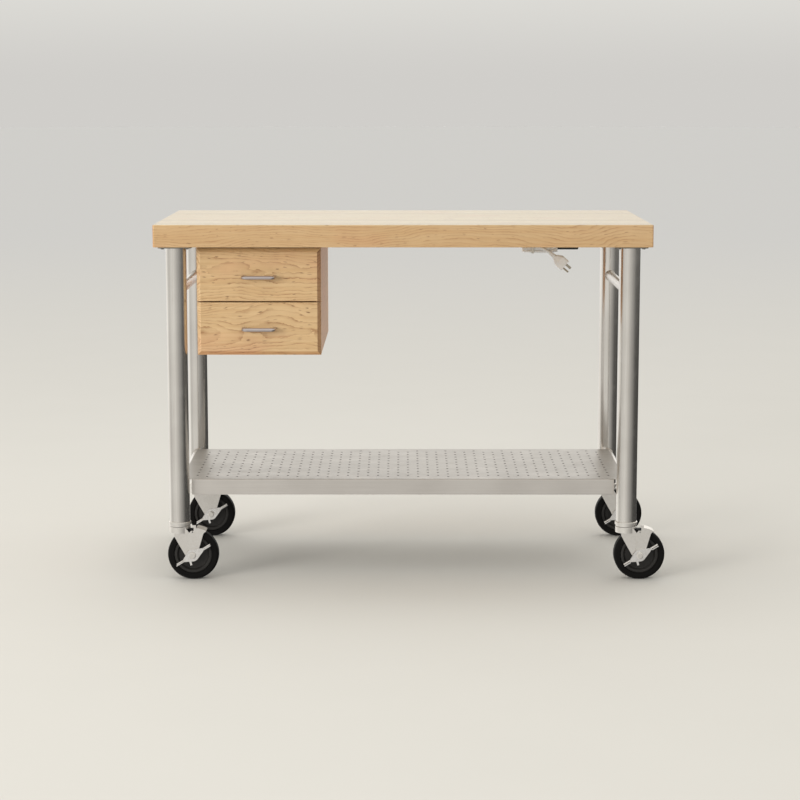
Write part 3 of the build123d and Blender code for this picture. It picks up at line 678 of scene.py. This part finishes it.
# Painted shade: the walls of the punched holes are painted near black.
from_middle = split(tree, combine_vectors(tree, "SUBTRACT", places, tuple((pan_low + pan_high) / 2)))[1]
from_middle = calculate(tree, "ABSOLUTE", from_middle)
between_lips = calculate(tree, "LESS_THAN", from_middle, (pan_high.y - pan_low.y) / 2 - lip_reach)
sideways = calculate(tree, "LESS_THAN", calculate(tree, "ABSOLUTE", shelf_facing), 0.5)
hole_wall = calculate(tree, "MULTIPLY", between_lips, sideways)
shelf_colour = mix_colours(tree, hole_wall, shelf_colour, hole_shade_black)
shelf_roughness = calculate(tree, "MULTIPLY_ADD", dulled, 0.05, metal["Roughness"])
set_surface(tree, shader, shelf_colour, shelf_roughness)
add_relief(tree, shader, metal["Height"], 0.08, 0.0002)
dress(shelf_steel, "shelf_pan")


# ---- Drawer case ----
# Four boards of maple-faced plywood make a case that is open at the front. Two rails inside it are screwed
# up into the slab, so it hangs under the left end.

edge_wear, entry, result = new_group(
    "edge_wear",
    [("Width", "NodeSocketFloat", 0.002), ("Vector", "NodeSocketVector", None)],
    [("Mask", "NodeSocketFloat")],
)
tree = edge_wear
rounded = add_node(tree, "ShaderNodeBevel", {"Radius": entry["Width"]}, samples=4).outputs[0]
flat = add_node(tree, "ShaderNodeNewGeometry").outputs["Normal"]
agreement = add_node(tree, "ShaderNodeVectorMath", {0: rounded, 1: flat}, operation="DOT_PRODUCT")
bent_edge = remap(tree, agreement.outputs["Value"], 0.995, 0.85)
patchy = remap(tree, noise(tree, entry["Vector"], 90.0, detail=4.0), 0.3, 0.65)
tree.links.new(calculate(tree, "MULTIPLY", bent_edge, patchy), result["Mask"])

handled_maple = (0.78, 0.6, 0.4, 1)
handled_share = 0.35


def maple_board(name, middle, turn=(0, 0, 0), **values):
    """A maple finish with handled arrises, its rings centred on a line through a place, along turned X."""
    material, tree, shader = new_material(name, Roughness=0.4)
    places = object_coordinates(tree)
    centred = combine_vectors(tree, "SUBTRACT", places, tuple(middle))
    turned = add_node(tree, "ShaderNodeMapping", {"Vector": centred, "Rotation": turn}, vector_type="POINT")
    grain = use_group(tree, maple_grain, Vector=turned.outputs[0], **values)
    worn = use_group(tree, edge_wear, Width=0.0025, Vector=places)["Mask"]
    worn = calculate(tree, "MULTIPLY", worn, handled_share)
    set_surface(tree, shader, mix_colours(tree, worn, grain["Color"], handled_maple), grain["Roughness"])
    add_relief(tree, shader, grain["Height"], 0.25, 0.0004)
    return material


quarter_turn = (0, 0, math.radians(90))
for name in ("case_side_left", "case_side_right"):
    low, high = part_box(name)
    pith = Vector((low.x - 0.06, 0.0, low.z + 0.09))
    side_maple = maple_board(
        f"{name}_maple", pith, quarter_turn, Ring_Spacing=0.009, Wander=0.05, Ring_Depth=0.45,
        Fleck_Amount=0.4, Pale=(0.76, 0.47, 0.285, 1), Honey=(0.69, 0.41, 0.235, 1),
        Blush=(0.70, 0.38, 0.22, 1),
    )
    dress(side_maple, name)
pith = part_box("case_floor")[0] - Vector((0.3, 0.05, 0.12))
case_maple = maple_board(
    "case_inside_maple", pith, quarter_turn, Ring_Spacing=0.011, Ring_Depth=0.35, Fleck_Amount=0.3,
    Pale=(0.60, 0.43, 0.27, 1), Honey=(0.54, 0.37, 0.22, 1),
)
dress(case_maple, "case_floor", "case_back", "case_rails")


# ---- Drawers ----
# Solid maple fronts with bevelled edges are screwed to boxes of white maple boards, which hold thin bottoms
# in grooves. They run on pressed steel channels, and bent rods of satin nickel serve as pulls.

def paint_light_on_bevels(material):
    """Paint light and shade on the bevels of a front: a painted highlight makes the left one pale, and
    painted shade makes the right and lower ones browner.
    """
    tree = material.node_tree
    base = tree.nodes["Principled BSDF"].inputs["Base Color"]
    colour = base.links[0].from_socket
    across, out, up = facing(tree)
    on_front = remap(tree, out, -0.15, -0.35)
    lit_left_bevel = calculate(tree, "MULTIPLY", remap(tree, across, -0.12, -0.35), on_front)
    shaded_right_bevel = calculate(tree, "MULTIPLY", remap(tree, across, 0.12, 0.35), on_front)
    shaded_lower_bevel = calculate(tree, "MULTIPLY", remap(tree, up, -0.12, -0.35), on_front)
    # Painted highlight on the left bevel, painted shade on the right and lower bevels.
    colour = mix_colours(tree, lit_left_bevel, colour, tinted(tree, colour, (1.22, 1.26, 1.36, 1)))
    colour = mix_colours(tree, shaded_right_bevel, colour, tinted(tree, colour, (0.58, 0.48, 0.42, 1)))
    colour = mix_colours(tree, shaded_lower_bevel, colour, tinted(tree, colour, (0.90, 0.76, 0.66, 1)))
    tree.links.new(colour, base)


front_values = {
    "Ring_Spacing": 0.0062, "Wander": 0.085, "Ring_Depth": 1.1, "Fleck_Amount": 1.0,
    "Pale": (0.60, 0.42, 0.225, 1), "Honey": (0.545, 0.36, 0.18, 1), "Blush": (0.57, 0.325, 0.18, 1),
}
pith_shifts = {"upper": (0.10, 0.034, 0.012), "lower": (1.35, 0.040, -0.006)}
box_pith = (-1.0, 0.3, 0.55)
drawer_wood = maple_board(
    "drawer_box_maple", box_pith, quarter_turn, Ring_Spacing=0.014, Ring_Depth=0.3, Fleck_Amount=0.25,
    Pale=(0.69, 0.55, 0.38, 1), Honey=(0.64, 0.49, 0.32, 1), Blush=(0.64, 0.46, 0.31, 1),
)
runner_zinc = steel_finish(
    "runner_zinc", (90.0, 8.0, 90.0), 0.38, (0.68, 0.69, 0.70, 1), (0.56, 0.57, 0.58, 1)
)
nickel = steel_finish(
    "satin_nickel", (14.0, 500.0, 500.0), 0.34, (0.60, 0.545, 0.53, 1), (0.50, 0.45, 0.44, 1)
)
for drawer, shift in pith_shifts.items():
    low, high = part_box(f"{drawer}_drawer_front")
    middle = (low + high) / 2
    pith = Vector((middle.x - shift[0], low.y + shift[1], middle.z + shift[2]))
    front_maple = maple_board(f"{drawer}_front_maple", pith, **front_values)
    paint_light_on_bevels(front_maple)
    dress(front_maple, f"{drawer}_drawer_front")
    dress(drawer_wood, f"{drawer}_drawer_box", f"{drawer}_drawer_bottom")
    dress(runner_zinc, f"{drawer}_drawer_runners")
    dress(nickel, f"{drawer}_drawer_pull")
dress(runner_zinc, "cabinet_runners")


# ---- Power outlet ----
# A black moulded box with two grounded sockets in its back plate is screwed under the top's back edge. Its
# skin is finely stippled, and its edges are rubbed grey.

deep_black, soft_black = (0.012, 0.012, 0.011, 1), (0.026, 0.025, 0.023, 1)
rubbed_grey = (0.09, 0.085, 0.08, 1)
outlet_plastic, tree, shader = new_material("outlet_plastic", Roughness=0.45)
places = object_coordinates(tree)
dulled = noise(tree, places, 40.0, detail=4.0)
edges = use_group(tree, edge_wear, Width=0.001, Vector=places)["Mask"]
plastic_colour = mix_colours(tree, edges, mix_colours(tree, dulled, deep_black, soft_black), rubbed_grey)
set_surface(tree, shader, plastic_colour, remap(tree, dulled, 0.2, 0.8, 0.36, 0.56))
add_relief(tree, shader, noise(tree, places, 900.0), 0.3, 0.0002)
dress(outlet_plastic, "outlet_box", "outlet_face")


# ---- Casters ----
# Each leg takes a 5 inch swivel caster: a plug and race fixed in the tube, a pressed zinc-plated fork, a
# rubber tread on a dark core, and a brake plate that a rocking foot lever pushes down on the tread.

rubbed_zinc = (0.88, 0.86, 0.82, 1)


def plated_zinc(name, light, dark, gloss):
    """Zinc-plated pressings, mottled all over and rubbed bright on their edges."""
    material, tree, shader = new_material(name, Metallic=1.0)
    places = object_coordinates(tree)
    metal = use_group(
        tree, brushed_steel, Vector=places, Streaks=(160.0, 160.0, 160.0), Light=light, Dark=dark, Gloss=gloss
    )
    rubbed = use_group(tree, edge_wear, Width=0.0015, Vector=places)["Mask"]
    zinc_roughness = calculate(tree, "MULTIPLY_ADD", rubbed, -0.12, metal["Roughness"])
    set_surface(tree, shader, mix_colours(tree, rubbed, metal["Color"], rubbed_zinc), zinc_roughness)
    add_relief(tree, shader, metal["Height"], 0.12, 0.0003)
    return material


fork_zinc = plated_zinc("fork_zinc", (0.80, 0.77, 0.72, 1), (0.70, 0.665, 0.61, 1), 0.42)
lever_zinc = plated_zinc("lever_zinc", (0.92, 0.90, 0.87, 1), (0.70, 0.67, 0.63, 1), 0.24)
dress(fork_zinc, "caster_stems", "caster_races")

clean_core, scuffed_core = (0.012, 0.0115, 0.0105, 1), (0.030, 0.028, 0.026, 1)
rubbed_core = (0.075, 0.072, 0.068, 1)
core_dark, tree, shader = new_material("wheel_core", Specular_IOR_Level=0.25)
places = object_coordinates(tree)
scuffs = noise(tree, places, 55.0, detail=5.0, roughness=0.65)
edges = use_group(tree, edge_wear, Width=0.0015, Vector=places)["Mask"]
core_colour = mix_colours(tree, edges, mix_colours(tree, scuffs, clean_core, scuffed_core), rubbed_core)
set_surface(tree, shader, core_colour, remap(tree, scuffs, 0.2, 0.8, 0.38, 0.62))
add_relief(tree, shader, scuffs, 0.25, 0.0004)

clean_rubber, worn_rubber = (0.002, 0.0018, 0.0015, 1), (0.006, 0.0055, 0.005, 1)
tread_rubber, tree, shader = new_material("tread_rubber", Specular_IOR_Level=0.12)
places = object_coordinates(tree)
wear = noise(tree, places, 70.0, detail=5.0, roughness=0.6)
rubber_colour = mix_colours(tree, wear, clean_rubber, worn_rubber)
set_surface(tree, shader, rubber_colour, remap(tree, wear, 0.2, 0.8, 0.5, 0.72))
add_relief(tree, shader, noise(tree, places, 1400.0), 0.25, 0.0002)

for row in ("front", "back"):
    for column in ("left", "right"):
        corner = f"caster_{row}_{column}"
        dress(fork_zinc, f"{corner}_fork", f"{corner}_brake_plate")
        dress(lever_zinc, f"{corner}_brake_lever")
        dress(core_dark, f"{corner}_hub")
        dress(tread_rubber, f"{corner}_tyre")


# ---- Sizes ----
# The box of the finished cart, without the floor, is measured.

low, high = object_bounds()
